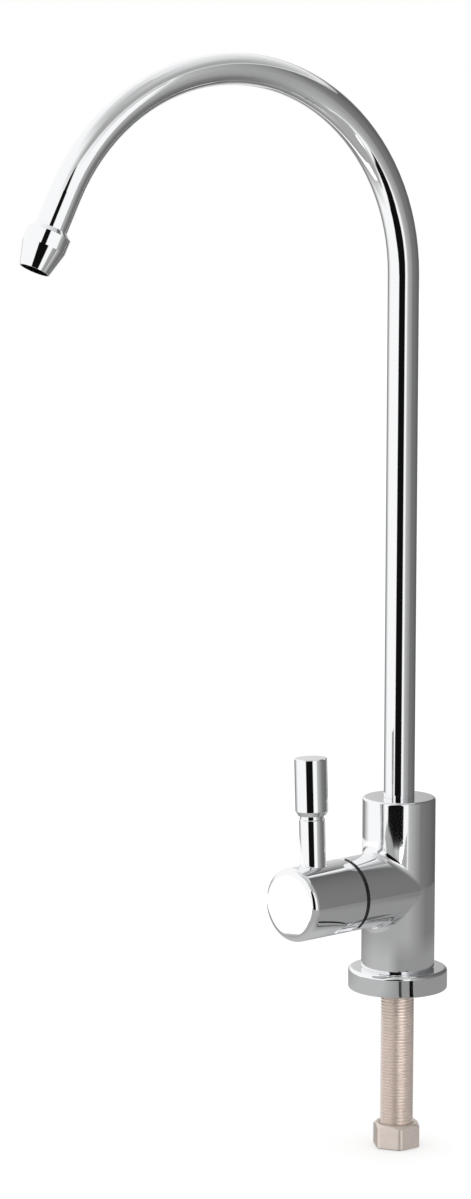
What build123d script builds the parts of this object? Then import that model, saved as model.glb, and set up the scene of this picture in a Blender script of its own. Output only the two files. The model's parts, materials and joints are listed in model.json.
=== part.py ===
from build123d import *
import math
import os

# Drinking water tap with a tall swivelling spout and a quarter-turn lever.
# Millimetres. +Z is up, and the origin is the centre of the flange's underside,
# on the worktop. The spout reaches out along -Y, and the handle's boss points
# the same way, turned a few degrees about the upright axis.

# Upright column and its base, from the worktop up
flange_height = 7.1
flange_overhang = 4.3
flange_edge = 1.2
flange_foot_round = 0.8
body_top_round = 0.9
body_foot_bevel = 0.6
inlet_floor_rise = 8.9
socket_floor_rise = 3.4
socket_depth = 18.1

# Side boss and handle hub
handle_turn = 9.5
boss_wall = 4.05
column_step = 0.05
boss_fillet = 2.5
ring_gap = 1.25
ring_recess = 1.1
hub_edge = 2.2
hub_inner_edge = 0.3
hub_clearance = 0.6
hub_cavity_spare = 1.2

# Lever: its place along the hub, and its stretches from the hub's surface up
lever_setback = 4.9
lever_inset = 10.9
lever_lean = 2.3
stem_radius = 4.25
stem_foot = 0.9
stem_foot_fillet = 0.4
stem_length = 15.05
stem_edge = 0.2
stem_thread_radius = 2.9
spigot_radius = 2.8
spigot_length = 12.0
neck_radius = 3.95
neck_length = 1.2
grip_radius = 5.35
grip_length = 18.7
grip_bevel = 0.8
grip_bevel_length = 1.5
grip_edge = 0.25

# Spout
tube_radius = 5.1
tube_wall = 0.9
tube_foot_gap = 1.1
riser_length = 172.1
arch_radius = 66.8
arch_sweep = 154.0
outlet_run = 11.7

# Outlet nozzle, from the tube's surface out
nozzle_wall = 1.9
nozzle_lip = 0.45
nozzle_bevel = 1.5
nozzle_band = 4.6
nozzle_taper = 7.6
nozzle_tip_radius = 4.9
nozzle_rim = 0.45
nozzle_grip = 5.0

# Rubber rings and snap ring on the spout's end, at shares of its depth
spout_ring_section = 1.1
spout_ring_groove = 1.6
spout_ring_shares = (0.18, 0.40)
snap_ring_share = 0.72
snap_ring_height = 0.9
snap_ring_wall = 1.0
snap_ring_split = 40.0

# Threaded shank and its nut
hexagon_sides = 6
shank_radius = 5.55
shank_length = 53.8
shank_engagement = 9.8
shank_bore = 2.7
thread_pitch = 1.0583
thread_depth = 0.6
thread_crest_share = 0.125
thread_root_share = 0.25
thread_relief = 1.6
supply_step = 0.5
supply_depth = 10.0
nut_wall = 1.6
nut_height = 8.0
nut_bevel_angle = 45.0
nut_land = 0.25
nut_turn = 35.4
seal_height = 1.0
seal_step = 1.0

# Gasket under the flange
gasket_height = 1.5
gasket_width = 5.4
gasket_margin = 2.0

# Quarter-turn cartridge, from the spindle out and from its seat forward
seat_setback = 2.5
spindle_radius = 3.9
neck_wall = 1.7
chamber_radius = 6.4
nose_wall = 0.8
flow_gap = 0.8
seal_squeeze = 0.4
inlet_seal_height = 2.0
inlet_seal_margin = 0.2
disc_height = 2.4
disc_rim = 1.6
disc_port_inner = 1.5
disc_port_angle = 76.0
tang_width = 2.0
tang_margin = 2.4
tang_depth = 1.0
fork_length = 4.2
shoulder_gap = 0.4
shoulder_height = 2.0
washer_height = 0.8
window_margin = 0.4
window_width = 7.0
barrel_lead = 1.0
barrel_ring_lead = 1.15
barrel_ring_section = 1.4
barrel_ring_groove = 1.7
barrel_thread = 10.15
head_step = 0.24
head_height = 2.6
cartridge_neck_length = 3.4

# Spindle's rings, toothed end and circlip
spline_teeth = 20
spline_depth = 0.4
spline_past_lever = 5.0
spindle_ring_section = 1.2
spindle_ring_groove = 1.5
spindle_ring_shares = (0.25, 0.60)
circlip_height = 0.8
circlip_depth = 0.4
circlip_wall = 2.0
circlip_split = 60.0
lever_flat_depth = 0.5

# Water passages in the body
outlet_passage = 3.1
inlet_passage = 2.0
inlet_reach = 4.0

# Clearances and an overrun for cuts
running_gap = 0.05
fit_gap = 0.04
face_gap = 0.1
socket_gap = 0.3
overrun = 1.0

# Radii worked out from the spindle outwards
spindle_bore = spindle_radius + running_gap
neck_outer = spindle_bore + neck_wall
disc_radius = chamber_radius - face_gap
disc_port_outer = disc_radius - disc_rim
cartridge_nose = chamber_radius + nose_wall
cartridge_radius = cartridge_nose + flow_gap
barrel_radius = cartridge_radius - fit_gap
boss_radius = cartridge_radius + boss_wall
body_radius = boss_radius + column_step
flange_radius = body_radius + flange_overhang

# Heights worked out from the worktop up
shank_top = flange_height + shank_engagement
shank_socket_top = shank_top + seal_height
boss_height = shank_socket_top + inlet_floor_rise + cartridge_radius
socket_floor = boss_height + cartridge_radius + socket_floor_rise
body_top = socket_floor + socket_depth
tube_end = socket_floor + tube_foot_gap
tube_insert = body_top - tube_end
arch_start = body_top + riser_length
socket_radius = tube_radius + running_gap

# Places along the handle's axis, from the cartridge's seat forward
cartridge_seat = -seat_setback
stack_start = cartridge_seat + inlet_seal_height
moving_start = stack_start + disc_height
fork_start = moving_start + disc_height
shoulder_start = fork_start + fork_length
shoulder_end = shoulder_start + shoulder_height
chamber_end = shoulder_end + washer_height + face_gap * 2
barrel_ring_low = chamber_end + barrel_ring_lead
barrel_ring_high = barrel_ring_low + barrel_ring_groove
boss_face = barrel_ring_high + barrel_thread
head_end = boss_face + head_height
housing_end = head_end + cartridge_neck_length
circlip_low = housing_end + face_gap
circlip_groove = circlip_height + face_gap
spline_start = circlip_low + circlip_groove + circlip_height
hub_start = boss_face + ring_gap
cavity_end = spline_start + hub_cavity_spare
lever_place = cavity_end + lever_setback
hub_end = lever_place + lever_inset
spline_end = lever_place + spline_past_lever

# Places along the lever, from the handle's axis up
lever_tip = spindle_radius - lever_flat_depth
stem_seat = boss_radius + stem_foot
neck_start = boss_radius + stem_length
grip_start = neck_start + neck_length
spigot_end = grip_start + spigot_length
lever_reach = grip_start + grip_length

full_turn = 360.0
turn_angle = math.radians(handle_turn)
handle_direction = Vector(math.sin(turn_angle), -math.cos(turn_angle), 0)
handle_origin = Vector(0, 0, boss_height)
handle_axis = Axis(handle_origin, handle_direction)


def handle_plane(distance):
    """A plane square to the handle's axis, at a distance from the column's axis."""
    side = Vector(0, 0, 1).cross(handle_direction)
    return Plane(origin=handle_origin + handle_direction * distance, x_dir=side, z_dir=handle_direction)


# In these planes x runs along the upright or the handle's axis, and y is the radius from it
upright_side = Plane(origin=(0, 0, 0), x_dir=(0, 0, 1), z_dir=(0, 1, 0))
handle_side = Plane(
    origin=handle_origin,
    x_dir=handle_direction,
    z_dir=handle_direction.cross(Vector(0, 0, 1)),
)

# The lever leans a little about the handle's axis. In its plane x is up the rod
lean_angle = math.radians(lever_lean)
lever_side_way = Vector(0, 0, 1).cross(handle_direction) * math.sin(lean_angle)
lever_direction = Vector(0, 0, 1) * math.cos(lean_angle) - lever_side_way
lever_origin = handle_origin + handle_direction * lever_place
lever_axis = Axis(lever_origin, lever_direction)
lever_side = Plane(
    origin=lever_origin,
    x_dir=lever_direction,
    z_dir=lever_direction.cross(handle_direction),
)
lever_plane = Plane(origin=lever_origin, x_dir=handle_direction, z_dir=lever_direction)

# The spout's centre line lies in the YZ plane, and the outlet's axis ends it
sweep_angle = math.radians(arch_sweep)
arch_end = Vector(
    0,
    -arch_radius * (1 - math.cos(sweep_angle)),
    arch_start + arch_radius * math.sin(sweep_angle),
)
outlet_direction = Vector(0, -math.sin(sweep_angle), math.cos(sweep_angle))
outlet_origin = arch_end + outlet_direction * outlet_run
outlet_axis = Axis(outlet_origin, outlet_direction)
outlet_side = Plane(origin=outlet_origin, x_dir=outlet_direction, z_dir=Vector(-1, 0, 0))


def outline(plane, *points):
    """A closed straight-sided face in a plane."""
    with BuildSketch(plane) as profile:
        with BuildLine():
            Polyline(*points, close=True)
        make_face()
    return profile.sketch


def sector(radius_in, radius_out, middle_angle, width_angle):
    """A ring sector's face in the XY plane, about the origin."""
    start = math.radians(middle_angle - width_angle / 2)
    end = math.radians(middle_angle + width_angle / 2)
    middle = math.radians(middle_angle)
    with BuildSketch() as profile:
        with BuildLine():
            outer = ThreePointArc(
                (radius_out * math.cos(start), radius_out * math.sin(start)),
                (radius_out * math.cos(middle), radius_out * math.sin(middle)),
                (radius_out * math.cos(end), radius_out * math.sin(end)),
            )
            inner = ThreePointArc(
                (radius_in * math.cos(end), radius_in * math.sin(end)),
                (radius_in * math.cos(middle), radius_in * math.sin(middle)),
                (radius_in * math.cos(start), radius_in * math.sin(start)),
            )
            Line(outer @ 1, inner @ 0)
            Line(inner @ 1, outer @ 0)
        make_face()
    return profile.sketch


def ring_section(plane, place, floor, section):
    """A rubber ring's round section, standing on the floor of its groove."""
    with BuildSketch(plane) as profile:
        with Locations((place, floor + section / 2)):
            Circle(section / 2)
    return profile.sketch


os.makedirs("parts", exist_ok=True)

# Spout tube: a riser, a round arch and a short outlet run, open all through.
# Its lower end is rolled inwards at the grooves of the two rubber rings and the snap ring.
spout_ring_floor = socket_radius - fit_gap - spout_ring_section
spout_ring_places = [tube_end + tube_insert * share for share in spout_ring_shares]
snap_ring_place = tube_end + tube_insert * snap_ring_share
snap_groove = snap_ring_height + face_gap * 2
snap_floor = socket_radius - snap_ring_wall / 2
tube_bore = tube_radius - tube_wall
tube_middle = tube_radius - tube_wall / 2
grooves = [(place, spout_ring_groove, spout_ring_floor) for place in spout_ring_places]
grooves.append((snap_ring_place, snap_groove, snap_floor))
with BuildPart() as spout_tube:
    with BuildLine(Plane.YZ):
        Line((0, tube_end), (0, arch_start))
        CenterArc((-arch_radius, arch_start), arch_radius, 0, arch_sweep)
        tube_stop = outlet_origin + outlet_direction * nozzle_grip
        Line((arch_end.Y, arch_end.Z), (tube_stop.Y, tube_stop.Z))
    with BuildSketch(Plane.XY.offset(tube_end)):
        Circle(tube_radius)
        Circle(tube_bore, mode=Mode.SUBTRACT)
    sweep()
    for place, width, floor in grooves:
        low, high = place - width / 2, place + width / 2
        rolled_wall = outline(
            Plane.XZ,
            (floor - tube_wall, low),
            (floor - tube_wall, high),
            (tube_bore, high + tube_wall),
            (tube_middle, high + tube_wall),
            (tube_middle, low - tube_wall),
            (tube_bore, low - tube_wall),
        )
        revolve(rolled_wall, Axis.Z)
    for place, width, floor in grooves:
        low, high = place - width / 2, place + width / 2
        rim = tube_radius + overrun
        cut = outline(Plane.XZ, (floor, low), (rim, low), (rim, high), (floor, high))
        revolve(cut, Axis.Z, mode=Mode.SUBTRACT)
spout_tube.part.label = "spout_tube"
export_step(spout_tube.part, "parts/spout_tube.step")

# Outlet nozzle: bevelled band and taper, pushed over the tube's end
nozzle_length = nozzle_bevel + nozzle_band + nozzle_taper
nozzle_bore = nozzle_tip_radius - nozzle_rim
nozzle_radius = tube_radius + nozzle_wall
nozzle_socket = tube_radius + fit_gap
with BuildPart() as outlet_nozzle:
    nozzle_outline = outline(
        outlet_side,
        (0, nozzle_socket),
        (0, tube_radius + nozzle_lip),
        (nozzle_bevel, nozzle_radius),
        (nozzle_bevel + nozzle_band, nozzle_radius),
        (nozzle_length, nozzle_tip_radius),
        (nozzle_length, nozzle_bore),
        (nozzle_grip + fit_gap, nozzle_bore),
        (nozzle_grip + fit_gap, nozzle_socket),
    )
    revolve(nozzle_outline, outlet_axis)
outlet_nozzle.part.label = "outlet_nozzle"
export_step(outlet_nozzle.part, "parts/outlet_nozzle.step")

# Rubber rings on the spout's end
lower_place, upper_place = spout_ring_places
with BuildPart() as spout_o_ring_lower:
    revolve(ring_section(upright_side, lower_place, spout_ring_floor, spout_ring_section), Axis.Z)
spout_o_ring_lower.part.label = "spout_o_ring_lower"
export_step(spout_o_ring_lower.part, "parts/spout_o_ring_lower.step")

with BuildPart() as spout_o_ring_upper:
    revolve(ring_section(upright_side, upper_place, spout_ring_floor, spout_ring_section), Axis.Z)
spout_o_ring_upper.part.label = "spout_o_ring_upper"
export_step(spout_o_ring_upper.part, "parts/spout_o_ring_upper.step")

# Snap ring: a split ring, half in the tube's groove and half in the body's
snap_outer = socket_radius + snap_ring_wall / 2
with BuildPart() as spout_snap_ring:
    low, high = snap_ring_place - snap_ring_height / 2, snap_ring_place + snap_ring_height / 2
    section_outline = outline(
        Plane.XZ,
        (snap_floor + fit_gap, low),
        (snap_outer, low),
        (snap_outer, high),
        (snap_floor + fit_gap, high),
    )
    revolve(section_outline, Axis.Z, revolution_arc=full_turn - snap_ring_split)
spout_snap_ring.part.label = "spout_snap_ring"
export_step(spout_snap_ring.part, "parts/spout_snap_ring.step")

# Body: column and side boss in one casting, bored for the spout, cartridge and shank
seal_bore = shank_bore + seal_step
inlet_offset = seat_setback + inlet_reach
inlet_start = handle_origin - handle_direction * (seal_bore - inlet_passage)
inlet_start = Vector(inlet_start.X, inlet_start.Y, shank_socket_top - overrun)
inlet_end = handle_origin - handle_direction * inlet_offset
inlet_way = inlet_end - inlet_start
with BuildPart() as tap_body:
    with BuildSketch(Plane.XY.offset(flange_height)):
        Circle(body_radius)
    extrude(amount=body_top - flange_height)
    fillet(tap_body.edges().group_by(Axis.Z)[-1], body_top_round)
    chamfer(tap_body.edges().group_by(Axis.Z)[0], body_foot_bevel)
    with BuildSketch(handle_plane(0)):
        Circle(boss_radius)
    extrude(amount=boss_face)
    fillet(tap_body.edges(Select.LAST).filter_by(GeomType.BSPLINE), boss_fillet)
    spout_socket = outline(
        Plane.XZ,
        (0, boss_height + cartridge_nose),
        (outlet_passage, boss_height + cartridge_nose),
        (outlet_passage, socket_floor),
        (socket_radius, socket_floor),
        (socket_radius, snap_ring_place - snap_groove / 2),
        (snap_outer + socket_gap, snap_ring_place - snap_groove / 2),
        (snap_outer + socket_gap, snap_ring_place + snap_groove / 2),
        (socket_radius, snap_ring_place + snap_groove / 2),
        (socket_radius, body_top + overrun),
        (0, body_top + overrun),
    )
    revolve(spout_socket, Axis.Z, mode=Mode.SUBTRACT)
    with BuildSketch(handle_plane(cartridge_seat)):
        Circle(cartridge_radius)
    extrude(amount=boss_face - cartridge_seat + overrun, mode=Mode.SUBTRACT)
    with BuildSketch(handle_plane(-inlet_offset)):
        Circle(inlet_passage)
    extrude(amount=inlet_offset, mode=Mode.SUBTRACT)
    with BuildSketch(Plane(origin=inlet_start, z_dir=inlet_way)):
        Circle(inlet_passage)
    extrude(amount=inlet_way.length, mode=Mode.SUBTRACT)
    with BuildSketch(Plane.XY.offset(flange_height)):
        Circle(shank_radius + fit_gap)
    extrude(amount=shank_socket_top - flange_height, mode=Mode.SUBTRACT)
tap_body.part.label = "tap_body"
export_step(tap_body.part, "parts/tap_body.step")

# Flange ring under the column, recessed below for its gasket
flange_bore = shank_radius + socket_gap
gasket_outer = flange_radius - gasket_margin
gasket_inner = gasket_outer - gasket_width
recess_inner = gasket_inner - fit_gap
recess_outer = gasket_outer + fit_gap
with BuildPart() as base_flange:
    flange_outline = outline(
        Plane.XZ,
        (flange_bore, 0),
        (recess_inner, 0),
        (recess_inner, gasket_height),
        (recess_outer, gasket_height),
        (recess_outer, 0),
        (flange_radius, 0),
        (flange_radius, flange_height),
        (flange_bore, flange_height),
    )
    revolve(flange_outline, Axis.Z)
    fillet(base_flange.edges().group_by(Axis.Z)[-1].sort_by(SortBy.RADIUS)[-1], flange_edge)
    foot_edge = base_flange.edges().group_by(Axis.Z)[0].sort_by(SortBy.RADIUS)[-1]
    fillet(foot_edge, flange_foot_round)
base_flange.part.label = "base_flange"
export_step(base_flange.part, "parts/base_flange.step")

# Gasket, flush with the flange's underside
with BuildPart() as flange_gasket:
    with BuildSketch():
        Circle(gasket_outer)
        Circle(gasket_inner, mode=Mode.SUBTRACT)
    extrude(amount=gasket_height)
flange_gasket.part.label = "flange_gasket"
export_step(flange_gasket.part, "parts/flange_gasket.step")

# Hollow shank: threaded below the flange, screwed into the body above it
supply_radius = shank_bore + supply_step
thread_root = shank_radius - thread_depth
thread_top = -thread_relief
thread_crest = thread_pitch * thread_crest_share
thread_flat = thread_pitch * thread_root_share
thread_flank = (thread_pitch - thread_crest - thread_flat) / 2
thread_turns = int((thread_top + shank_length) / thread_pitch)
thread_points = []
for turn in range(thread_turns):
    root_low = -shank_length + turn * thread_pitch
    root_high = root_low + thread_flat
    crest_low = root_high + thread_flank
    thread_points.append((thread_root, root_low))
    thread_points.append((thread_root, root_high))
    thread_points.append((shank_radius, crest_low))
    thread_points.append((shank_radius, crest_low + thread_crest))
with BuildPart() as threaded_shank:
    shank_outline = outline(
        Plane.XZ,
        (shank_bore, -shank_length + supply_depth),
        (supply_radius, -shank_length + supply_depth),
        (supply_radius, -shank_length),
        *thread_points,
        (thread_root, -shank_length + thread_turns * thread_pitch),
        (thread_root, thread_top),
        (shank_radius, thread_top + thread_depth),
        (shank_radius, shank_top),
        (shank_bore, shank_top),
    )
    revolve(shank_outline, Axis.Z)
threaded_shank.part.label = "threaded_shank"
export_step(threaded_shank.part, "parts/threaded_shank.step")

# Flat seal between the shank's top end and the floor of its socket
with BuildPart() as shank_seal:
    with BuildSketch(Plane.XY.offset(shank_top)):
        Circle(shank_radius - fit_gap)
        Circle(seal_bore, mode=Mode.SUBTRACT)
    extrude(amount=seal_height)
shank_seal.part.label = "shank_seal"
export_step(shank_seal.part, "parts/shank_seal.step")

# Lock nut at the shank's lower end, bevelled above
nut_base = -shank_length
nut_top = nut_base + nut_height
nut_flat = shank_radius + nut_wall
nut_corner = nut_flat / math.cos(math.pi / hexagon_sides)
bevel_radius = nut_flat - nut_land
bevel_drop = (nut_corner - bevel_radius) * math.tan(math.radians(nut_bevel_angle))
with BuildPart() as lock_nut:
    with BuildSketch(Plane.XY.offset(nut_base)):
        RegularPolygon(nut_corner, hexagon_sides, rotation=nut_turn)
        Circle(shank_radius + running_gap, mode=Mode.SUBTRACT)
    extrude(amount=nut_height)
    turned_form = outline(
        Plane.XZ,
        (0, nut_base),
        (nut_corner, nut_base),
        (nut_corner, nut_top - bevel_drop),
        (bevel_radius, nut_top),
        (0, nut_top),
    )
    revolve(turned_form, Axis.Z, mode=Mode.INTERSECT)
lock_nut.part.label = "lock_nut"
export_step(lock_nut.part, "parts/lock_nut.step")

# Cartridge housing: nose with flow windows, threaded barrel, hexagon head and neck
housing_start = cartridge_seat + seal_squeeze
barrel_start = shoulder_start + barrel_lead
barrel_ring_floor = barrel_radius - barrel_ring_section
head_corner = (barrel_radius + head_step) / math.cos(math.pi / hexagon_sides)
with BuildPart() as cartridge_housing:
    housing_outline = outline(
        handle_side,
        (housing_start, chamber_radius),
        (housing_start, cartridge_nose),
        (barrel_start, cartridge_nose),
        (barrel_start, barrel_radius),
        (barrel_ring_low, barrel_radius),
        (barrel_ring_low, barrel_ring_floor),
        (barrel_ring_high, barrel_ring_floor),
        (barrel_ring_high, barrel_radius),
        (boss_face, barrel_radius),
        (boss_face, neck_outer),
        (housing_end, neck_outer),
        (housing_end, spindle_bore),
        (chamber_end, spindle_bore),
        (chamber_end, chamber_radius),
    )
    revolve(housing_outline, handle_axis)
    with BuildSketch(handle_plane(boss_face)):
        RegularPolygon(head_corner, hexagon_sides)
        Circle(spindle_bore, mode=Mode.SUBTRACT)
    extrude(amount=head_height)
    window_place = handle_origin + handle_direction * (fork_start + fork_length / 2)
    with BuildSketch(Plane(origin=window_place, x_dir=handle_direction, z_dir=(0, 0, 1))):
        Rectangle(fork_length - window_margin * 2, window_width)
    extrude(amount=cartridge_nose + overrun, both=True, mode=Mode.SUBTRACT)
cartridge_housing.part.label = "cartridge_housing"
export_step(cartridge_housing.part, "parts/cartridge_housing.step")

# Rubber ring on the housing's barrel
barrel_ring_place = (barrel_ring_low + barrel_ring_high) / 2
with BuildPart() as cartridge_o_ring:
    rubber = ring_section(handle_side, barrel_ring_place, barrel_ring_floor, barrel_ring_section)
    revolve(rubber, handle_axis)
cartridge_o_ring.part.label = "cartridge_o_ring"
export_step(cartridge_o_ring.part, "parts/cartridge_o_ring.step")

# Rubber seal between the body's seat and the fixed disc
with BuildPart() as inlet_seal:
    with BuildSketch(handle_plane(cartridge_seat)):
        Circle(disc_radius)
        Circle(disc_port_outer + inlet_seal_margin, mode=Mode.SUBTRACT)
    extrude(amount=inlet_seal_height)
inlet_seal.part.label = "inlet_seal"
export_step(inlet_seal.part, "parts/inlet_seal.step")

# Ceramic discs. Their openings lie crossed while the tap is shut
tang_length = (chamber_radius - tang_margin) * 2
with BuildPart() as fixed_disc:
    with BuildSketch(handle_plane(stack_start)):
        Circle(disc_radius)
        for side in (0, full_turn / 2):
            port = sector(disc_port_inner, disc_port_outer, side, disc_port_angle)
            add(port, mode=Mode.SUBTRACT)
    extrude(amount=disc_height)
fixed_disc.part.label = "fixed_disc"
export_step(fixed_disc.part, "parts/fixed_disc.step")

with BuildPart() as moving_disc:
    with BuildSketch(handle_plane(moving_start)):
        Circle(disc_radius)
        for side in (full_turn / 4, -full_turn / 4):
            port = sector(disc_port_inner, disc_port_outer, side, disc_port_angle)
            add(port, mode=Mode.SUBTRACT)
    extrude(amount=disc_height)
    with BuildSketch(handle_plane(fork_start - tang_depth)):
        Rectangle(tang_length + fit_gap * 2, tang_width + fit_gap * 2)
    extrude(amount=tang_depth + overrun, mode=Mode.SUBTRACT)
moving_disc.part.label = "moving_disc"
export_step(moving_disc.part, "parts/moving_disc.step")

# Thrust washer between the spindle's shoulder and the housing
with BuildPart() as friction_washer:
    with BuildSketch(handle_plane(shoulder_end + face_gap)):
        Circle(chamber_radius - face_gap)
        Circle(spindle_bore, mode=Mode.SUBTRACT)
    extrude(amount=washer_height)
friction_washer.part.label = "friction_washer"
export_step(friction_washer.part, "parts/friction_washer.step")


def spline_points(extra):
    """Points of the spindle's toothed section, grown by a clearance."""
    points = []
    for tooth in range(spline_teeth * 2):
        radius = spindle_radius + extra - (spline_depth if tooth % 2 else 0)
        angle = math.pi * tooth / spline_teeth
        points.append((radius * math.cos(angle), radius * math.sin(angle)))
    return points


# Spindle: tang, shoulder, grooved shaft and toothed end, with a flat for the lever's tip
spindle_ring_floor = spindle_bore - fit_gap - spindle_ring_section
shaft_length = housing_end - chamber_end
spindle_ring_places = [chamber_end + shaft_length * share for share in spindle_ring_shares]
circlip_floor = spindle_radius - circlip_depth
shoulder_radius = chamber_radius - shoulder_gap
with BuildPart() as spindle:
    spindle_outline = outline(
        handle_side,
        (shoulder_start, 0),
        (shoulder_start, shoulder_radius),
        (shoulder_end, shoulder_radius),
        (shoulder_end, spindle_radius),
        (circlip_low, spindle_radius),
        (circlip_low, circlip_floor),
        (circlip_low + circlip_groove, circlip_floor),
        (circlip_low + circlip_groove, spindle_radius),
        (spline_start, spindle_radius),
        (spline_start, 0),
    )
    revolve(spindle_outline, handle_axis)
    for place in spindle_ring_places:
        low, high = place - spindle_ring_groove / 2, place + spindle_ring_groove / 2
        rim = spindle_radius + overrun
        floor = spindle_ring_floor
        cut = outline(handle_side, (low, floor), (low, rim), (high, rim), (high, floor))
        revolve(cut, handle_axis, mode=Mode.SUBTRACT)
    with BuildSketch(handle_plane(fork_start - tang_depth)):
        Rectangle(tang_length, tang_width)
    extrude(amount=tang_depth + fork_length)
    with BuildSketch(handle_plane(spline_start)):
        with BuildLine():
            Polyline(*spline_points(0), close=True)
        make_face()
    extrude(amount=spline_end - spline_start)
    with BuildSketch(lever_plane.offset(lever_tip)):
        Circle(stem_thread_radius + fit_gap)
    extrude(amount=lever_flat_depth + overrun, mode=Mode.SUBTRACT)
spindle.part.label = "spindle"
export_step(spindle.part, "parts/spindle.step")

# Rubber rings on the spindle
inner_place, outer_place = spindle_ring_places
with BuildPart() as spindle_o_ring_inner:
    revolve(ring_section(handle_side, inner_place, spindle_ring_floor, spindle_ring_section), handle_axis)
spindle_o_ring_inner.part.label = "spindle_o_ring_inner"
export_step(spindle_o_ring_inner.part, "parts/spindle_o_ring_inner.step")

with BuildPart() as spindle_o_ring_outer:
    revolve(ring_section(handle_side, outer_place, spindle_ring_floor, spindle_ring_section), handle_axis)
spindle_o_ring_outer.part.label = "spindle_o_ring_outer"
export_step(spindle_o_ring_outer.part, "parts/spindle_o_ring_outer.step")

# Circlip that holds the spindle in the housing
with BuildPart() as spindle_circlip:
    clip_outline = outline(
        handle_side,
        (circlip_low, circlip_floor + fit_gap),
        (circlip_low, circlip_floor + circlip_wall),
        (circlip_low + circlip_height, circlip_floor + circlip_wall),
        (circlip_low + circlip_height, circlip_floor + fit_gap),
    )
    revolve(clip_outline, handle_axis, revolution_arc=full_turn - circlip_split)
spindle_circlip.part.label = "spindle_circlip"
export_step(spindle_circlip.part, "parts/spindle_circlip.step")

# Dark ring in the gap between the boss and the hub
glide_inner = head_corner + socket_gap
with BuildPart() as glide_ring:
    with BuildSketch(handle_plane(boss_face)):
        Circle(boss_radius - ring_recess)
        Circle(glide_inner, mode=Mode.SUBTRACT)
    extrude(amount=ring_gap - face_gap)
glide_ring.part.label = "glide_ring"
export_step(glide_ring.part, "parts/glide_ring.step")

# Handle hub: a cap over the cartridge's neck, toothed inside for the spindle, with a raised foot
# that the lever stem stands on
cavity_radius = head_corner + hub_clearance
spline_socket_end = spline_end + socket_gap
with BuildPart() as handle_hub:
    hub_outline = outline(
        handle_side,
        (hub_start, cavity_radius),
        (hub_start, boss_radius - hub_inner_edge),
        (hub_start + hub_inner_edge, boss_radius),
        (hub_end, boss_radius),
        (hub_end, 0),
        (cavity_end, 0),
        (cavity_end, cavity_radius),
    )
    revolve(hub_outline, handle_axis)
    fillet(handle_hub.edges().group_by(handle_axis)[-1], hub_edge)
    with BuildSketch(lever_plane):
        Circle(stem_radius)
    extrude(amount=stem_seat)
    fillet(handle_hub.edges(Select.LAST).filter_by(GeomType.BSPLINE), stem_foot_fillet)
    with BuildSketch(handle_plane(cavity_end)):
        with BuildLine():
            Polyline(*spline_points(fit_gap), close=True)
        make_face()
    extrude(amount=spline_socket_end - cavity_end, mode=Mode.SUBTRACT)
    with BuildSketch(lever_plane):
        Circle(stem_thread_radius + fit_gap)
    extrude(amount=stem_seat + overrun, mode=Mode.SUBTRACT)
handle_hub.part.label = "handle_hub"
export_step(handle_hub.part, "parts/handle_hub.step")

# Lever stem: its screwed tail passes through the hub and bears on the spindle
with BuildPart() as lever_stem:
    stem_outline = outline(
        lever_side,
        (lever_tip, 0),
        (lever_tip, stem_thread_radius),
        (stem_seat, stem_thread_radius),
        (stem_seat, stem_radius),
        (neck_start - stem_edge, stem_radius),
        (neck_start, stem_radius - stem_edge),
        (neck_start, neck_radius),
        (grip_start, neck_radius),
        (grip_start, spigot_radius),
        (spigot_end, spigot_radius),
        (spigot_end, 0),
    )
    revolve(stem_outline, lever_axis)
lever_stem.part.label = "lever_stem"
export_step(lever_stem.part, "parts/lever_stem.step")

# Lever grip: a cap pressed on the stem's spigot
with BuildPart() as lever_grip:
    grip_outline = outline(
        lever_side,
        (grip_start, spigot_radius + fit_gap),
        (grip_start, grip_radius - grip_bevel),
        (grip_start + grip_bevel_length, grip_radius),
        (lever_reach - grip_edge, grip_radius),
        (lever_reach, grip_radius - grip_edge),
        (lever_reach, 0),
        (spigot_end + face_gap, 0),
        (spigot_end + face_gap, spigot_radius + fit_gap),
    )
    revolve(grip_outline, lever_axis)
lever_grip.part.label = "lever_grip"
export_step(lever_grip.part, "parts/lever_grip.step")
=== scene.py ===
import json
import math

import bmesh
import bpy
from mathutils import Matrix, Vector

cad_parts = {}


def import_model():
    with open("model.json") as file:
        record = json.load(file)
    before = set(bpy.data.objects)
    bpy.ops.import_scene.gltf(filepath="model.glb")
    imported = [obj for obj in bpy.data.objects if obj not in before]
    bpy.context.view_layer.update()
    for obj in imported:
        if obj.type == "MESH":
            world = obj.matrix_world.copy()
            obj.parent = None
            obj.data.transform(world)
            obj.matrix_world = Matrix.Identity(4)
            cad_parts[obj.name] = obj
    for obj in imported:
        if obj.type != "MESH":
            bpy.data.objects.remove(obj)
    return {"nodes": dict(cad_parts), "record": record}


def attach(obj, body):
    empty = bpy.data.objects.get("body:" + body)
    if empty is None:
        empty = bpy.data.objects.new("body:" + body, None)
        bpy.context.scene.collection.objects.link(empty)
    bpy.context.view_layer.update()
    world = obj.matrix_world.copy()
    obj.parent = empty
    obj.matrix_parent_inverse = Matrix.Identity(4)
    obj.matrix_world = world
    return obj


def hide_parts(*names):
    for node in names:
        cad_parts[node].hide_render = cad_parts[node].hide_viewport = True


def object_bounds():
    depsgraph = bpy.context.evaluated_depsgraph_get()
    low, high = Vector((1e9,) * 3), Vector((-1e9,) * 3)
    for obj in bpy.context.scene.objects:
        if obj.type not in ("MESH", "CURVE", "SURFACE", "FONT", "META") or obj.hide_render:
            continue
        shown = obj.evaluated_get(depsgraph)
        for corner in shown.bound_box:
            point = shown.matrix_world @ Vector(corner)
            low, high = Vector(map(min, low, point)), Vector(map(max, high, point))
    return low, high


# A chrome drinking water tap on a pale floor. Metres, in the frame of the CAD model.
millimetre = 0.001
merge_distance = 0.000001

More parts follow.
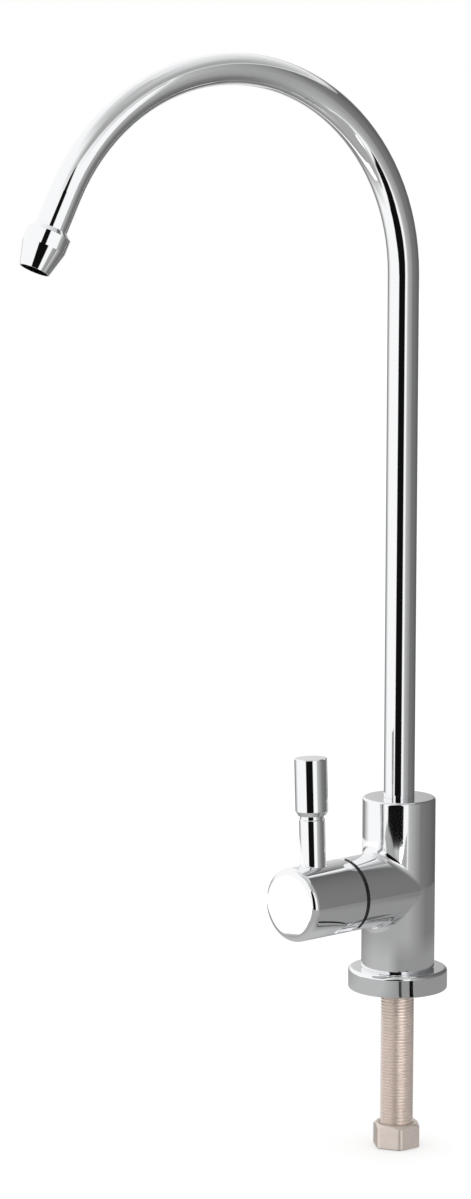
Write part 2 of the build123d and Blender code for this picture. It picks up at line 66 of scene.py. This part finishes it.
# Camera of the photograph. The model's frame is turned about the upright axis from its view
view_turn = math.radians(57.117)
camera_aside = -0.05405
camera_away = 1.400
camera_height = 0.34013
camera_pitch = math.radians(8.544)
camera_roll = math.radians(0.149)
camera_lens = 129.93
film_long_side = 36.0

# Stage
floor_size = 6.0
floor_colour = (0.80, 0.80, 0.80)
floor_roughness = 0.9
background_white = 1.0
floor_lift = 0.28
floor_gap = 0.0002

# The studio that the chrome mirrors, by direction in degrees. Azimuth runs from the camera's
# side, positive to its right, and tones run from 0 to 1. Each panel has its tones by azimuth,
# its lowest and highest elevation, and the softness of its sides and of its top and bottom.
studio_radius = 3.0
studio_step = 1.0
studio_white = 1.0
panels = (
    ("ceiling", ((-180, 1.0), (-40, 1.0), (0, 0.4), (80, 0.4), (180, 1.0)), 38, 90, 0, 6),
    ("zenith", ((-180, 0.9), (0, 0.5), (180, 0.9)), 60, 90, 0, 20),
    ("right_high", ((14, 1.0), (90, 0.1), (168, 1.0)), 27, 36, 4, 5),
    ("back_left", ((-180, 0.6), (-145, 0.2), (-110, 1.0)), -90, 4, 0, 8),
    ("left_low", ((-180, 0.2), (-140, 0.2), (-50, 1.0)), -90, -33, 0, 10),
    ("right_low", ((36, 0.4), (130, 0.1)), -90, -10, 8, 6),
    ("table", ((-180, 0.2), (-60, 0.4), (0, 0.2), (180, 0.2)), -90, -43, 0, 12),
)
# The dark flag on the camera's side: its left and right edge at each elevation
flag_outline = ((-39, -4, 4), (-28, -32, 32), (-16, -38, 13), (25, -26, 10), (38, -8, 0))
flag_softness = 3
flag_tone = 0.005
# The table that the chrome mirrors, level with the worktop. For each azimuth it has its reach
# from the column, and its tones close to the flange and further out
table_drop = 0.0001
table_start = 0.006
table_rings = (0.060, 0.095)
table_step = 3
table_reach = ((-180, 0.15), (-60, 0.15), (-40, 0.30), (4, 0.21), (40, 0.33), (60, 0.33), (75, 0.20),
               (180, 0.20))
table_near = ((-180, 0.25), (-80, 0.5), (-30, 0.5), (0, 0.3), (180, 0.3))
table_far = ((-180, 0.2), (-80, 0.4), (30, 0.4), (90, 0.2), (180, 0.2))
# Dark slots in the table, which the flange mirrors: azimuth of the mirrored ray, widths, tone
slot_start = 0.0164
slot_length = 0.030
slots = ((29, 0.0013, 0.0058, 0.003), (3, 0.0009, 0.0045, 0.05))
upright_steps = 72
# The grey wall that the chrome mirrors, behind the tap and to its right: tones by azimuth
wall_radius = 0.17
wall_height = 0.40
wall_tones = ((24, 1.0), (30, 0.5), (70, 0.2), (150, 0.1), (194, 0.8))
# The band of light below the worktop, which the shank and its nut mirror: tones by azimuth
band_radius = 0.25
band_tones = ((-180, 0.7), (-60, 1.5), (0, 0.5), (15, 5.0), (40, 5.0), (60, 1.0), (180, 0.7))
band_low = -0.090
band_high = -0.0002

# Finishes. Noise is in cells per metre and relief in metres
chrome_colour = (0.93, 0.935, 0.945)
chrome_roughness = (0.02, 0.07)
chrome_haze_scale = 160.0
chrome_wave_scale = 90.0
chrome_wave_detail = 1.0
chrome_wave_depth = 0.00001
nickel_relief_scale = 3000.0
nickel_relief_depth = 0.00003
# Other metals: how metallic, their darker and lighter tone and its noise, roughness and its noise
metals = {
    "plain_nickel": (0.65, (0.70, 0.61, 0.555), (0.79, 0.70, 0.64), 260.0, (0.24, 0.36), 900.0),
    "turned_brass": (1.0, (0.66, 0.47, 0.20), (0.78, 0.60, 0.30), 200.0, (0.18, 0.34), 1200.0),
    "spring_steel": (1.0, (0.38, 0.38, 0.39), (0.52, 0.52, 0.53), 300.0, (0.25, 0.45), 2000.0),
}
# Rubber, ceramic and plastics: their darker and lighter tone, roughness and the noise of both
dull_finishes = {
    "black_rubber": ((0.012, 0.012, 0.012), (0.022, 0.022, 0.022), (0.55, 0.75), 700.0),
    "ceramic": ((0.82, 0.81, 0.78), (0.90, 0.89, 0.86), (0.25, 0.40), 500.0),
    "white_plastic": ((0.80, 0.80, 0.78), (0.87, 0.87, 0.85), (0.40, 0.55), 600.0),
    # The dark plastic is near black, darker than the rubber: the glide ring between the handle's hub and the
    # body's boss shows its own dark colour and also painted shade of the gap it sits in
    "dark_plastic": ((0.006, 0.006, 0.007), (0.012, 0.012, 0.014), (0.35, 0.50), 600.0),
}
dull_relief_times = 8
dull_relief_depth = 0.00002

# Threaded shank, from its lower end up, in millimetres
shank_low = -53.8
shank_high = 16.9
shank_radius = 5.55
shank_bore = 2.7
supply_bore = 3.2
supply_depth = 10.0
bore_edge = 0.25
thread_pitch = 1.0583
thread_depth = 0.6
thread_start = shank_low + 0.7
thread_end = -1.0
thread_run = 1.4
thread_sides = 72
# Rings of points below the thread, and as many above it
plain_rings = 5
shank_sharp_angle = 50
# The thread's profile over one turn: share of the pitch and share of the depth
thread_form = ((0.0, 1.0), (0.07, 1.0), (0.30, 0.42), (0.42, 0.06), (0.50, 0.0), (0.58, 0.06), (0.70, 0.42),
               (0.93, 1.0))

# Lock nut, in millimetres
nut_low = -53.8
nut_high = -45.8
nut_flat = 7.15
nut_bore = 5.6
nut_turn = 35.4
nut_bevel_radius = 6.9
nut_corner_cut = 0.18
nut_low_bevel = 0.25
nut_bore_bevel = 0.5
nut_face_steps = 16
nut_faces = 6
nut_sharp_angle = 20


def turned(aside, away, height):
    """A place given from the photograph's view: metres to its right, away from it and up."""
    return Matrix.Rotation(view_turn, 3, "Z") @ Vector((aside, away, height))


def smooth_step(value, start, end):
    """From 0 at the start to 1 at the end, eased."""
    if start == end:
        return float(value >= start)
    share = min(max((value - start) / (end - start), 0.0), 1.0)
    return share * share * (3 - 2 * share)


def window(value, low, high, softness):
    """1 inside a range and 0 outside it, with soft ends."""
    half = softness / 2
    return smooth_step(value, low - half, low + half) * (1 - smooth_step(value, high - half, high + half))


def between(stops, place):
    """The values at a place between two stops of a table whose rows start with their places."""
    for first, second in zip(stops, stops[1:]):
        if first[0] <= place <= second[0]:
            share = (place - first[0]) / (second[0] - first[0])
            return [one + (other - one) * share for one, other in zip(first[1:], second[1:])]
    return list(stops[0][1:] if place < stops[0][0] else stops[-1][1:])


def mesh_object(name, points, faces):
    """A new mesh object in the scene."""
    mesh = bpy.data.meshes.new(name)
    mesh.from_pydata([tuple(point) for point in points], [], faces)
    mesh.update()
    made = bpy.data.objects.new(name, mesh)
    bpy.context.scene.collection.objects.link(made)
    return made


def dressed(made, slot, body, *nodes):
    """A finished piece: it rides on a body, takes a slot's material and stands for CAD nodes."""
    made.data.materials.clear()
    made.data.materials.append(materials[slot])
    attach(made, body)
    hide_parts(*nodes)


def shade(made, angle):
    """Smooth shading that keeps edges sharper than an angle in degrees."""
    for polygon in made.data.polygons:
        polygon.use_smooth = True
    made.data.set_sharp_from_angle(angle=math.radians(angle))


def ring_faces(rows, sides, closed=False):
    """Quads between rings of points that follow one another."""
    faces = []
    for row in range(rows if closed else rows - 1):
        for side in range(sides):
            follow = (side + 1) % sides
            low, high = row * sides, (row + 1) % rows * sides
            faces.append((low + side, low + follow, high + follow, high + side))
    return faces


def threaded_shank():
    """The hollow shank, with a true helical thread that runs out at both ends."""
    form = len(thread_form)
    root = shank_radius - thread_depth
    turns = math.ceil((thread_end - thread_start) / thread_pitch) + 1
    points = []

    def add_ring(radius, height):
        for side in range(thread_sides):
            angle = 2 * math.pi * side / thread_sides
            points.append((radius * math.cos(angle), radius * math.sin(angle), height))

    add_ring(supply_bore, shank_low + supply_depth)
    add_ring(supply_bore, shank_low + bore_edge)
    add_ring(supply_bore + bore_edge, shank_low)
    add_ring(root - bore_edge, shank_low)
    add_ring(root, shank_low + bore_edge)
    for row in range(-form, turns * form):
        share, rise = thread_form[row % form]
        for side in range(thread_sides):
            height = thread_start + thread_pitch * (row // form + share + side / thread_sides)
            ease = smooth_step(height, thread_start, thread_start + thread_run)
            ease *= 1 - smooth_step(height, thread_end - thread_run, thread_end)
            radius = root + thread_depth * rise * ease
            height = min(max(height, thread_start), thread_end)
            angle = 2 * math.pi * side / thread_sides
            points.append((radius * math.cos(angle), radius * math.sin(angle), height))
    add_ring(root, thread_end + thread_depth / 2)
    add_ring(shank_radius, thread_end + thread_depth)
    add_ring(shank_radius, shank_high)
    add_ring(shank_bore, shank_high)
    add_ring(shank_bore, shank_low + supply_depth)
    rows = len(points) // thread_sides
    faces = ring_faces(rows, thread_sides, closed=True)
    first, last = plain_rings * thread_sides, (rows - plain_rings) * thread_sides
    # Where a thread row ends a turn, it goes on in the row one pitch higher
    joined = []
    for low, follow_low, follow_high, high in faces:
        if first <= low < last - thread_sides and follow_low % thread_sides == 0:
            follow_low += thread_sides * form
            follow_high += thread_sides * form
            if follow_high >= last:
                continue
        joined.append((low, follow_low, follow_high, high))
    return finished("shank", points, joined, shank_sharp_angle)


def lock_nut():
    """The hexagon nut, with turned bevels that cut scallops into its flats."""
    sides = nut_faces * nut_face_steps
    corner = nut_flat / math.cos(math.pi / nut_faces) - nut_corner_cut
    outlines = []
    for side in range(sides):
        angle = math.radians(nut_turn) + 2 * math.pi * side / sides
        off_flat = 2 * math.pi * (side % nut_face_steps) / sides - math.pi / nut_faces
        edge = min(nut_flat / math.cos(off_flat), corner)
        top = min(edge, nut_bevel_radius)
        outline = (
            (edge - nut_low_bevel, nut_low), (edge, nut_low + nut_low_bevel),
            (edge, nut_high - (edge - top)), (top, nut_high),
            (nut_bore + nut_bore_bevel, nut_high), (nut_bore, nut_high - nut_bore_bevel),
            (nut_bore, nut_low + nut_bore_bevel), (nut_bore + nut_bore_bevel, nut_low),
        )
        across, along = math.cos(angle), math.sin(angle)
        outlines.append([(radius * across, radius * along, height) for radius, height in outline])
    points = [point for row in zip(*outlines) for point in row]
    return finished("nut", points, ring_faces(len(outline), sides, closed=True), nut_sharp_angle)


def finished(name, points, faces, angle):
    """A closed mesh from points in millimetres, with doubled points merged and smooth shading."""
    made = mesh_object(name, [Vector(point) * millimetre for point in points], faces)
    tools = bmesh.new()
    tools.from_mesh(made.data)
    bmesh.ops.remove_doubles(tools, verts=tools.verts, dist=merge_distance)
    bmesh.ops.dissolve_degenerate(tools, edges=tools.edges, dist=merge_distance)
    bmesh.ops.recalc_face_normals(tools, faces=tools.faces)
    tools.to_mesh(made.data)
    tools.free()
    shade(made, angle)
    return made


def material(name):
    """A new node material, with its shader and its tree's two main tools."""
    made = bpy.data.materials.new(name)
    made.use_nodes = True
    nodes = made.node_tree.nodes
    return made, nodes, made.node_tree.links, nodes["Principled BSDF"]


def noise(nodes, links, scale, detail=3.0):
    """Noise in the object's own coordinates. The scale is in cells per metre."""
    place = nodes.new("ShaderNodeTexCoord")
    texture = nodes.new("ShaderNodeTexNoise")
    texture.inputs["Scale"].default_value = scale
    texture.inputs["Detail"].default_value = detail
    links.new(place.outputs["Object"], texture.inputs["Vector"])
    return texture.outputs["Fac"]


def spread(nodes, links, value, low, high):
    """A value from 0 to 1 spread over a range."""
    ranged = nodes.new("ShaderNodeMapRange")
    ranged.inputs["To Min"].default_value = low
    ranged.inputs["To Max"].default_value = high
    links.new(value, ranged.inputs["Value"])
    return ranged.outputs["Result"]


def bump(nodes, links, shader, height, depth):
    """Relief of a depth in metres."""
    relief = nodes.new("ShaderNodeBump")
    relief.inputs["Distance"].default_value = depth
    links.new(height, relief.inputs["Height"])
    links.new(relief.outputs["Normal"], shader.inputs["Normal"])


def tint(nodes, links, shader, value, dark, light):
    """Colour that drifts between two tones."""
    mix = nodes.new("ShaderNodeMix")
    mix.data_type = "RGBA"
    mix.inputs["A"].default_value = (*dark, 1.0)
    mix.inputs["B"].default_value = (*light, 1.0)
    links.new(value, mix.inputs["Factor"])
    links.new(mix.outputs["Result"], shader.inputs["Base Color"])


def chrome():
    """Bright plating: a mirror with a faint haze and the slight waviness of polished metal."""
    made, nodes, links, shader = material("chrome")
    shader.inputs["Base Color"].default_value = (*chrome_colour, 1.0)
    shader.inputs["Metallic"].default_value = 1.0
    haze = noise(nodes, links, chrome_haze_scale)
    links.new(spread(nodes, links, haze, *chrome_roughness), shader.inputs["Roughness"])
    wave = noise(nodes, links, chrome_wave_scale, chrome_wave_detail)
    bump(nodes, links, shader, wave, chrome_wave_depth)
    return made


def metal(name, metallic, dark, light, tone_scale, roughness, rough_scale):
    """A metal with a drifting tone. The plain nickel also has the fine relief of unpolished plating."""
    made, nodes, links, shader = material(name)
    shader.inputs["Metallic"].default_value = metallic
    tint(nodes, links, shader, noise(nodes, links, tone_scale), dark, light)
    links.new(spread(nodes, links, noise(nodes, links, rough_scale), *roughness), shader.inputs["Roughness"])
    if name == "plain_nickel":
        bump(nodes, links, shader, noise(nodes, links, nickel_relief_scale), nickel_relief_depth)
    return made


def dull(name, dark, light, roughness, scale):
    """A dull moulded or pressed material, such as rubber, ceramic or plastic."""
    made, nodes, links, shader = material(name)
    tint(nodes, links, shader, noise(nodes, links, scale), dark, light)
    links.new(spread(nodes, links, noise(nodes, links, scale), *roughness), shader.inputs["Roughness"])
    bump(nodes, links, shader, noise(nodes, links, scale * dull_relief_times), dull_relief_depth)
    return made


def world():
    """White all round. Where the camera, metal or glass sees it directly, it is exactly white."""
    made = bpy.data.worlds.new("studio")
    made.use_nodes = True
    background = made.node_tree.nodes["Background"]
    background.inputs["Color"].default_value = (1.0, 1.0, 1.0, 1.0)
    background.inputs["Strength"].default_value = background_white
    bpy.context.scene.world = made


def floor(height):
    """A pale floor that the camera sees as white, with the object's shadow on it."""
    half = floor_size / 2
    corners = [(-half, -half, height), (half, -half, height), (half, half, height), (-half, half, height)]
    made = mesh_object("floor", corners, [(0, 1, 2, 3)])
    paint, nodes, links, shader = material("floor")
    shader.inputs["Base Color"].default_value = (*floor_colour, 1.0)
    shader.inputs["Roughness"].default_value = floor_roughness
    shader.inputs["Specular IOR Level"].default_value = 0.0
    path = nodes.new("ShaderNodeLightPath")
    seen = nodes.new("ShaderNodeMath")
    seen.operation = "MAXIMUM"
    links.new(path.outputs["Is Camera Ray"], seen.inputs[0])
    links.new(path.outputs["Is Glossy Ray"], seen.inputs[1])
    lift = nodes.new("ShaderNodeMath")
    lift.operation = "MULTIPLY"
    lift.inputs[1].default_value = floor_lift
    links.new(seen.outputs["Value"], lift.inputs[0])
    shader.inputs["Emission Color"].default_value = (1.0, 1.0, 1.0, 1.0)
    links.new(lift.outputs["Value"], shader.inputs["Emission Strength"])
    made.data.materials.append(paint)
    made.visible_glossy = False


def studio_tone(azimuth, elevation):
    """How bright the studio is in a direction."""
    tone = studio_white
    for _, stops, low, high, side_softness, softness in panels:
        share = 1.0
        if low > -90:
            share *= smooth_step(elevation, low - softness / 2, low + softness / 2)
        if high < 90:
            share *= 1 - smooth_step(elevation, high - softness / 2, high + softness / 2)
        if side_softness:
            share *= window(azimuth, stops[0][0], stops[-1][0], side_softness)
        elif not stops[0][0] <= azimuth <= stops[-1][0]:
            share = 0.0
        tone += (between(stops, azimuth)[0] - tone) * share
    if flag_outline[0][0] <= elevation <= flag_outline[-1][0]:
        left, right = between(flag_outline, elevation)
        tone += (flag_tone - tone) * window(azimuth, left, right, flag_softness)
    return tone


def studio():
    """The studio's panels as one dome that only mirrors see. It sheds no light and casts no shadow."""
    across = round(360 / studio_step)
    up = round(180 / studio_step)
    points, tones, faces = [], [], []
    for row in range(up + 1):
        elevation = -90 + studio_step * row
        level = studio_radius * math.cos(math.radians(elevation))
        height = studio_radius * math.sin(math.radians(elevation))
        for column in range(across + 1):
            azimuth = -180 + studio_step * column
            angle = math.radians(azimuth)
            points.append(turned(level * math.sin(angle), -level * math.cos(angle), height))
            tones.append(studio_tone(azimuth, elevation))
    for row in range(up):
        for column in range(across):
            first = row * (across + 1) + column
            faces.append((first, first + across + 1, first + across + 2, first + 1))
    studio_panel("studio_dome", points, tones, faces)


def studio_panel(name, points, tones, faces):
    """A panel that only mirrors see, from its front alone. It sheds no light and casts no shadow."""
    made = mesh_object(name, points, faces)
    tone = made.data.attributes.new("tone", "FLOAT", "POINT")
    tone.data.foreach_set("value", tones)
    paint, nodes, links, shader = material(name)
    nodes.remove(shader)
    read = nodes.new("ShaderNodeAttribute")
    read.attribute_name = "tone"
    glow = nodes.new("ShaderNodeEmission")
    links.new(read.outputs["Fac"], glow.inputs["Strength"])
    side = nodes.new("ShaderNodeNewGeometry")
    clear = nodes.new("ShaderNodeBsdfTransparent")
    mix = nodes.new("ShaderNodeMixShader")
    links.new(side.outputs["Backfacing"], mix.inputs[0])
    links.new(glow.outputs["Emission"], mix.inputs[1])
    links.new(clear.outputs["BSDF"], mix.inputs[2])
    links.new(mix.outputs["Shader"], nodes["Material Output"].inputs["Surface"])
    made.data.materials.append(paint)
    made.visible_camera = False
    made.visible_diffuse = False
    made.visible_shadow = False


def table():
    """The table that the chrome mirrors, seen from above alone."""
    azimuths = sorted({stop[0] for stop in table_near + table_far} | set(range(-180, 181, table_step)))
    points, tones, faces = [], [], []
    for azimuth in azimuths:
        angle = math.radians(azimuth)
        reach = between(table_reach, azimuth)[0]
        near, far = (between(stops, azimuth)[0] for stops in (table_near, table_far))
        for radius, tone in zip((table_start, *table_rings, reach), (near, near, far, far)):
            radius = min(radius, reach)
            points.append(turned(radius * math.sin(angle), -radius * math.cos(angle), -table_drop))
            tones.append(tone)
    rings = len(table_rings) + 2
    for column in range(len(azimuths) - 1):
        for ring in range(rings - 1):
            first = column * rings + ring
            faces.append((first, first + 1, first + rings + 1, first + rings))
    for azimuth, width, far_width, tone in slots:
        start, way = math.radians(azimuth / 2), math.radians(azimuth)
        along = Vector((math.sin(way), -math.cos(way)))
        aside = Vector((math.cos(way), math.sin(way)))
        near = Vector((math.sin(start), -math.cos(start))) * slot_start
        far = near + along * slot_length
        near_half, far_half = aside * width / 2, aside * far_width / 2
        corners = (near - near_half, far - far_half, far + far_half, near + near_half)
        faces.append(tuple(range(len(points), len(points) + 4)))
        points += [turned(*corner, -table_drop / 2) for corner in corners]
        tones += [tone] * 4
    studio_panel("studio_table", points, tones, faces)


def upright(name, radius, low, high, stops):
    """An upright curved panel around the tap, from a low to a high level, with tones by azimuth."""
    start, end = stops[0][0], stops[-1][0]
    points, tones, faces = [], [], []
    for height in (low, high):
        for step in range(upright_steps + 1):
            azimuth = start + (end - start) * step / upright_steps
            angle = math.radians(azimuth)
            points.append(turned(radius * math.sin(angle), -radius * math.cos(angle), height))
            tones.append(between(stops, azimuth)[0])
    for step in range(upright_steps):
        faces.append((step, step + upright_steps + 1, step + upright_steps + 2, step + 1))
    studio_panel(name, points, tones, faces)


def camera():
    """The photograph's camera."""
    lens = bpy.data.cameras.new("camera")
    lens.sensor_width = film_long_side
    lens.lens = camera_lens
    made = bpy.data.objects.new("camera", lens)
    bpy.context.scene.collection.objects.link(made)
    turn = Matrix.Rotation(view_turn, 4, "Z")
    pitch = Matrix.Rotation(math.radians(90) - camera_pitch, 4, "X")
    roll = Matrix.Rotation(camera_roll, 4, "Z")
    place = Matrix.Translation(turned(camera_aside, -camera_away, camera_height))
    made.matrix_world = place @ turn @ pitch @ roll
    bpy.context.scene.camera = made


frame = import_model()
cad_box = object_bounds()
materials = {"chrome": chrome()}
for name, finish in metals.items():
    materials[name] = metal(name, *finish)
for name, finish in dull_finishes.items():
    materials[name] = dull(name, *finish)
for subpart in frame["record"]["subparts"]:
    node = frame["nodes"][subpart["node"]]
    node.data.materials.clear()
    node.data.materials.append(materials[subpart["material_slot"]])

dressed(threaded_shank(), "plain_nickel", "tap", "threaded_shank")
dressed(lock_nut(), "plain_nickel", "nut", "lock_nut")

floor_height = cad_box[0].z
world()
floor(floor_height - floor_gap)
studio()
table()
upright("studio_wall", wall_radius, -table_drop, wall_height, wall_tones)
upright("studio_band", band_radius, band_low, band_high, band_tones)
camera()

bpy.context.scene.view_settings.view_transform = "Standard"
